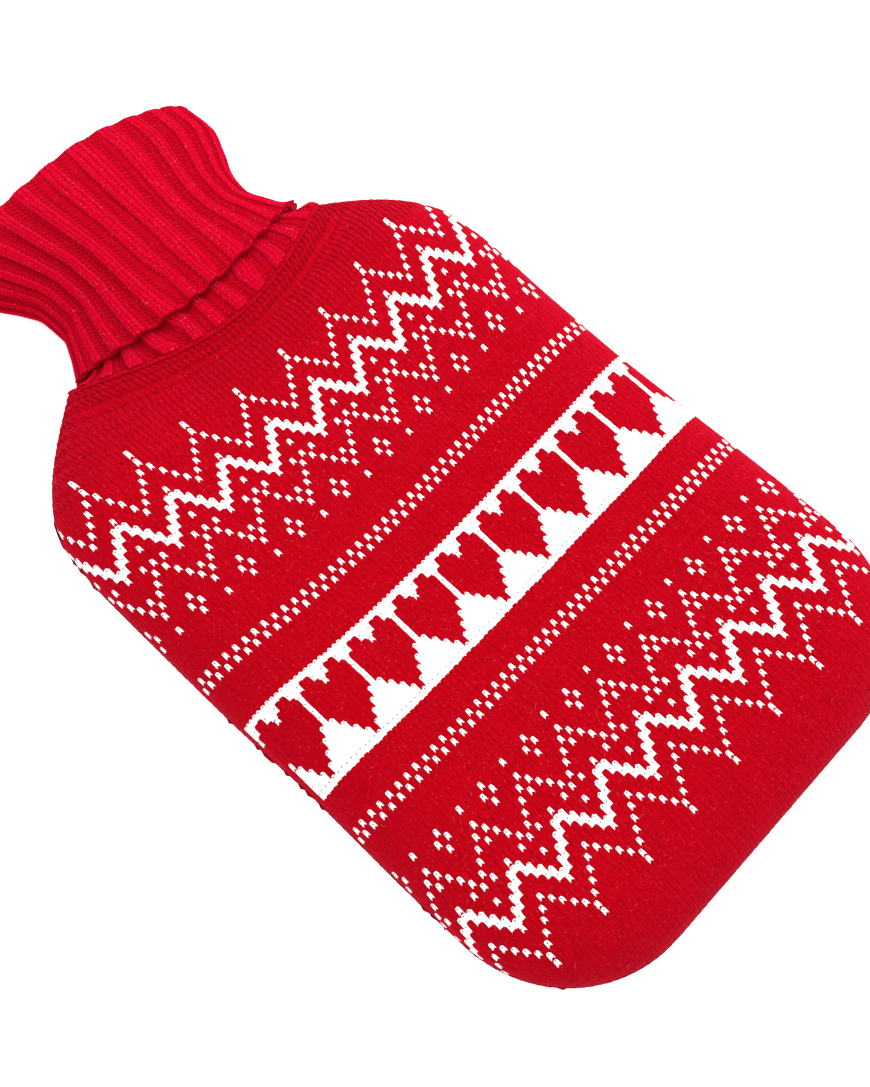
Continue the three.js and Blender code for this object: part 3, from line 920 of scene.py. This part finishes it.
def collar_point(turn, along, lift):
    """On the collar, along its length from the hem, over the fold and down inside."""
    turn, along, lift = np.broadcast_arrays(turn, along, lift)
    bend = np.clip((along - DOWN_LENGTH) / FOLD_RADIUS, 0, math.pi)
    inside = np.maximum(along - DOWN_LENGTH - FOLD_LENGTH, 0)
    proud = FOLD_RADIUS + lift
    at = (np.minimum(along, DOWN_LENGTH) + HEM_Y + proud * np.sin(bend) - inside)
    waist = np.exp(-((along - HEM_WAIST_AT) / HEM_WAIST_LENGTH) ** 2)
    flare = right_end(turn) * (HEM_FLARE * np.exp(-np.maximum(along, 0) / HEM_FLARE_LENGTH)
                               - HEM_WAIST * waist) * (inside <= 0)
    even = HEM_EVENS * right_end(turn) * np.exp(-np.maximum(along, 0) / HEM_EVEN_LENGTH)
    out = LAYER_GAP / 2 + proud * np.cos(bend) + rib_relief(turn, at) * (1 - even) + flare
    return ring_point(turn, at, out)


def neck_point(turn, along, lift):
    """On the bare neck between the join and the hem."""
    turn, along, lift = np.broadcast_arrays(turn, along, lift)
    at = JOIN_Y + SEAM_GAP + along
    swell = np.exp(-((along - NECK_BULGE_AT) / NECK_BULGE_LENGTH) ** 2)
    waist = smooth_step((along - NECK_WAIST_FROM) / NECK_WAIST_LENGTH)
    bulge = right_end(turn) * (NECK_BULGE * swell - NECK_WAIST * waist)
    return ring_point(turn, at, lift + rib_relief(turn, at) + bulge)


def collar_section():
    """The collar's section, once round its cloth: (which surface, length along, lift)."""
    sunk = COLLAR_SUNK
    end = DOWN_LENGTH + FOLD_LENGTH
    section = [(collar_point, along, -sunk) for along in np.linspace(0.2, DOWN_LENGTH, 26)]
    section += [(collar_point, DOWN_LENGTH + FOLD_LENGTH * k / 9, -sunk) for k in range(1, 9)]
    section += [(collar_point, along, -sunk)
                for along in np.linspace(end, end + FOLD_Y - JOIN_Y - SEAM_GAP, 18)]
    section += [(neck_point, along, -sunk) for along in np.linspace(0, 22, 8)]
    section += [(neck_point, along, -sunk)
                for along in np.linspace(30, FOLD_Y - JOIN_Y - SEAM_GAP, 7)]
    section += [(collar_point, along, -RIB_CLOTH) for along in np.linspace(DOWN_LENGTH, 0.2, 10)]
    return section


def collar_sheet():
    """A ring of the collar's section, drawn round the neck with its ribs."""
    section = collar_section()
    around = RIBS * RIB_STEPS
    bpy.ops.mesh.primitive_torus_add(major_segments=around, minor_segments=len(section),
                                     major_radius=1.0, minor_radius=0.25)
    sheet = bpy.context.object
    sheet.name = sheet.data.name = "collar_cloth"
    mesh = sheet.data
    at = np.empty(len(mesh.vertices) * 3)
    mesh.vertices.foreach_get("co", at)
    at = at.reshape(-1, 3)
    major = np.arctan2(at[:, 1], at[:, 0]) / (2 * math.pi) * around
    minor = np.arctan2(at[:, 2], np.hypot(at[:, 0], at[:, 1]) - 1) / (2 * math.pi)
    turn = (np.round(major) % around) / RIB_STEPS
    ring = (np.round(minor * len(section)) % len(section)).astype(int)
    points = np.empty_like(at)
    for k, (surface, along, lift) in enumerate(section):
        points[ring == k] = surface(turn[ring == k], along, lift)
    mesh.vertices.foreach_set("co", ((points + CLOTH_SHIFT) * MM).ravel())
    mesh.update()
    bpy.ops.object.mode_set(mode="EDIT")
    bpy.ops.mesh.select_all(action="SELECT")
    bpy.ops.mesh.normals_make_consistent(inside=False)
    bpy.ops.object.mode_set(mode="OBJECT")
    mesh.shade_smooth()
    # The collar's cloth takes the purl colour, painted darker as shade.
    mesh.materials.append(purl_shade_wool)
    bpy.ops.object.select_all(action="DESELECT")
    return sheet


collar_cloth = collar_sheet()


def rib_cells(rows, knit_wales):
    """Stitches of the ribs (or of the troughs between them), three wales to each."""
    first = RIB_MIDDLE if knit_wales else TROUGH_MIDDLE
    offsets = (-RIB_WALE, 0.0, RIB_WALE)
    stagger = 0 if knit_wales else 0.5
    return [(rib + first + offset, row + (stagger if offset == 0 else 0))
            for rib in range(RIBS) for offset in offsets for row in rows]


def on_collar(across, down, lift):
    return collar_point(across, down * RIB_ROW, lift)


def on_neck(across, down, lift):
    return neck_point(across, down * RIB_ROW, lift)


def on_hem(across, down, lift):
    return collar_point(down / WALES_A_RIB, 0.3 - HEM_ROW * across, lift)


def on_join(across, down, lift):
    """Along the edge of the panels, which rolls a little over the ends of the ribs."""
    return ring_point(down / WALES_A_RIB, JOIN_Y - 0.5 - JOIN_ROW * across, lift)


# The short bars that lie across the troughs.
PURL_BUMP = model_stitch(4, (
    [(-0.52, 0.10, 0.25), (-0.50, -0.16, -0.1), (-0.50, 0.06, -0.5), (-0.50, 0.30, -0.1)],
    [(0.0, -0.06, 1.0), (0.0, -0.42, 0.0), (0.0, -0.06, -0.5), (0.0, 0.34, 0.0)],
    [(0.52, 0.10, 0.25), (0.50, -0.16, -0.1), (0.50, 0.06, -0.5), (0.50, 0.30, -0.1)],
))
KNIT_HEIGHT = 0.36
PURL_HEIGHT = 0.17
COLLAR_JITTER = 0.006
HEM_HEIGHT = 0.5
JOIN_HEIGHT = 0.3
JOIN_PROUD = 0.05
CHAIN_JITTER = 0.02
NECK_ROWS = 10
INSIDE_LENGTH = 14    # the ribs' stitches run on this far down inside the mouth
down_rows = [k + 0.5 for k in range(int((DOWN_LENGTH + FOLD_LENGTH + INSIDE_LENGTH)
                                          / RIB_ROW))]
neck_rows = [k + 0.5 for k in range(NECK_ROWS)]
collar_knit = knit("collar_knit", scaled(ROUND_STITCH, RIB_WALE, -1), rib_cells(down_rows, True),
                   on_collar, KNIT_HEIGHT, jitter=COLLAR_JITTER)
collar_purl = knit("collar_purl", scaled(PURL_BUMP, RIB_WALE, -1), rib_cells(down_rows, False),
                   on_collar, PURL_HEIGHT, jitter=COLLAR_JITTER)
neck_knit = knit("neck_knit", scaled(ROUND_STITCH, RIB_WALE), rib_cells(neck_rows, True),
                 on_neck, KNIT_HEIGHT, jitter=COLLAR_JITTER)
neck_purl = knit("neck_purl", scaled(PURL_BUMP, RIB_WALE), rib_cells(neck_rows, False),
                 on_neck, PURL_HEIGHT, jitter=COLLAR_JITTER)
hem_edge = knit("hem_edge", ROUND_STITCH, [(0, k) for k in range(RIBS * WALES_A_RIB)],
                on_hem, HEM_HEIGHT, jitter=CHAIN_JITTER)
join_chain = knit("join_chain", ROUND_STITCH, [(0, k) for k in range(RIBS * WALES_A_RIB)],
                  on_join, JOIN_HEIGHT, -JOIN_PROUD, jitter=CHAIN_JITTER)
join_chain.data.materials.append(red_wool)
for piece in (collar_knit, neck_knit, hem_edge):
    piece.data.materials.append(rib_wool)
# The troughs take the purl colour, painted darker as shade.
for piece in (collar_purl, neck_purl):
    piece.data.materials.append(purl_shade_wool)

# ---- the seam round the sides and the base ------------------------------------------------

SEAM_STITCH = 3.0     # length of a stitch of the seam's chain
SEAM_WIDTH = 1.7
SEAM_HEIGHT = 0.45
SEAM_PROUD = 0.35
OUTLINE_STEPS = 900


def outline():
    """The seam's line from the right of the neck, round the base, to the left of the neck."""
    down = np.linspace(JOIN_Y - 1.5, BASE_Y, OUTLINE_STEPS)
    ones = np.ones(len(down))
    right = surface_point(1, down, ones, 0.0, SEAM_Z, 0.0)
    left = surface_point(1, down, -ones, 0.0, SEAM_Z, 0.0)
    return np.concatenate((right, left[::-1]))[:, :2]


OUTLINE = outline()
OUTLINE_RUN = np.concatenate(((0,), np.cumsum(np.hypot(*np.diff(OUTLINE, axis=0).T))))


def on_seam(across, down, lift):
    """On the edge of the two panels, stitch by stitch along the outline."""
    run = np.clip((down + 0.5) * SEAM_STITCH, 0, OUTLINE_RUN[-1])
    ahead, behind = (np.stack([np.interp(np.clip(run + way, 0, OUTLINE_RUN[-1]), OUTLINE_RUN,
                                         OUTLINE[:, k]) for k in (0, 1)], -1)
                     for way in (1.0, -1.0))
    along = (ahead - behind) / np.linalg.norm(ahead - behind, axis=-1, keepdims=True)
    place = (ahead + behind) / 2
    x = place[..., 0] - along[..., 1] * lift
    y = place[..., 1] + along[..., 0] * lift
    return np.stack((x, y, SEAM_Z + SEAM_WIDTH * across), -1)


side_seam = knit("side_seam", ROUND_STITCH,
                 [(0, k) for k in range(int(OUTLINE_RUN[-1] / SEAM_STITCH))], on_seam,
                 SEAM_HEIGHT, -SEAM_PROUD, jitter=0.03)
side_seam.data.materials.append(red_wool)

# ---- stray fibres ---------------------------------------------------------------------

FIBRE_STEPS = 6
FIBRE_WIDTH = 0.045
FIBRE_CURL = 0.35     # how much a hair turns at each step
FIBRE_ARCH = 0.35     # how high its middle stands above its ends
FIBRE_LOW = 0.08
RIB_WIDTH = 9.6       # millimetres round the collar to a rib
FRONT_FIBRES = 110
COLLAR_FIBRES = 120


def stray_fibres(name, starts, surface, unit, lengths, thickness):
    """Loose curled hairs on the knitting; unit turns millimetres into the surface's own."""
    points, groups = [], []
    for start in starts:
        heading, curl = chance.uniform(0, 2 * math.pi), chance.normal(0, FIBRE_CURL)
        step = chance.uniform(*lengths) / FIBRE_STEPS
        place = np.array(start, float)
        line = []
        for k in range(FIBRE_STEPS + 1):
            lift = FIBRE_LOW + FIBRE_ARCH * math.sin(math.pi * k / FIBRE_STEPS)
            line.append((place[0], place[1], lift))
            place += step * np.array((math.cos(heading) * unit[0], math.sin(heading) * unit[1]))
            heading += curl
        line = np.array(line)
        path = surface(line[:, 0], line[:, 1], line[:, 2])
        base = len(points) * 3
        for k, point in enumerate(path):
            ahead = path[min(k + 1, FIBRE_STEPS)] - path[max(k - 1, 0)]
            side = np.cross(ahead, (0, 0, 1.0))
            side /= max(np.linalg.norm(side), 1e-6)
            thin = thickness * (0.4 + 0.6 * math.sin(math.pi * (k + 0.5) / (FIBRE_STEPS + 1)))
            points.append((point + side * thin, point - side * thin,
                           point + np.array((0, 0, 1.2 * thin))))
        for k in range(FIBRE_STEPS):
            a, b = base + 3 * k, base + 3 * (k + 1)
            groups += [(a, b, b + 2, a + 2), (a + 2, b + 2, b + 1, a + 1),
                       (a + 1, b + 1, b, a)]
    points = np.array(points).reshape(-1, 3)
    caps = []
    for k in range(len(starts)):
        first = k * (FIBRE_STEPS + 1) * 3
        last = first + FIBRE_STEPS * 3
        caps += [(first, first + 2, first + 1), (last, last + 1, last + 2)]
    groups = [np.array(caps), np.array(groups)]
    if signed_volume(points, groups) < 0:
        groups = [group[:, ::-1] for group in groups]
    piece = new_piece(name, points, groups)
    piece.data.materials.append(fluff_wool)
    return piece


front_fluff = stray_fibres(
    "front_fluff", [(chance.uniform(-6, 82), chance.uniform(-6, 76)) for _ in range(FRONT_FIBRES)],
    front_point, (1 / WALE, 1 / ROW), (0.8, 2.6), FIBRE_WIDTH)
collar_fluff = stray_fibres(
    "collar_fluff", [(chance.uniform(3.0, 11.0), chance.triangular(0, 4, 60))
                     for _ in range(COLLAR_FIBRES)],
    collar_point, (1 / RIB_WIDTH, 1.0), (0.5, 1.6), FIBRE_WIDTH)

# ---- what each piece is ---------------------------------------------------------------

PIECES = {
    "front_knit": (front_cloth, front_white, front_packed, front_eyelet_shades, front_pleats,
                   front_upper, front_lower, side_seam, front_fluff),
    "back_knit": (back_cloth, back_knit),
    "rib_knit": (collar_cloth, collar_knit, collar_purl, neck_knit, neck_purl, hem_edge,
                 join_chain, collar_fluff),
}
for slot, pieces in PIECES.items():
    for piece in pieces:
        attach(piece, "root")
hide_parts("front_panel")
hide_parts("back_panel")
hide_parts("rib_collar")
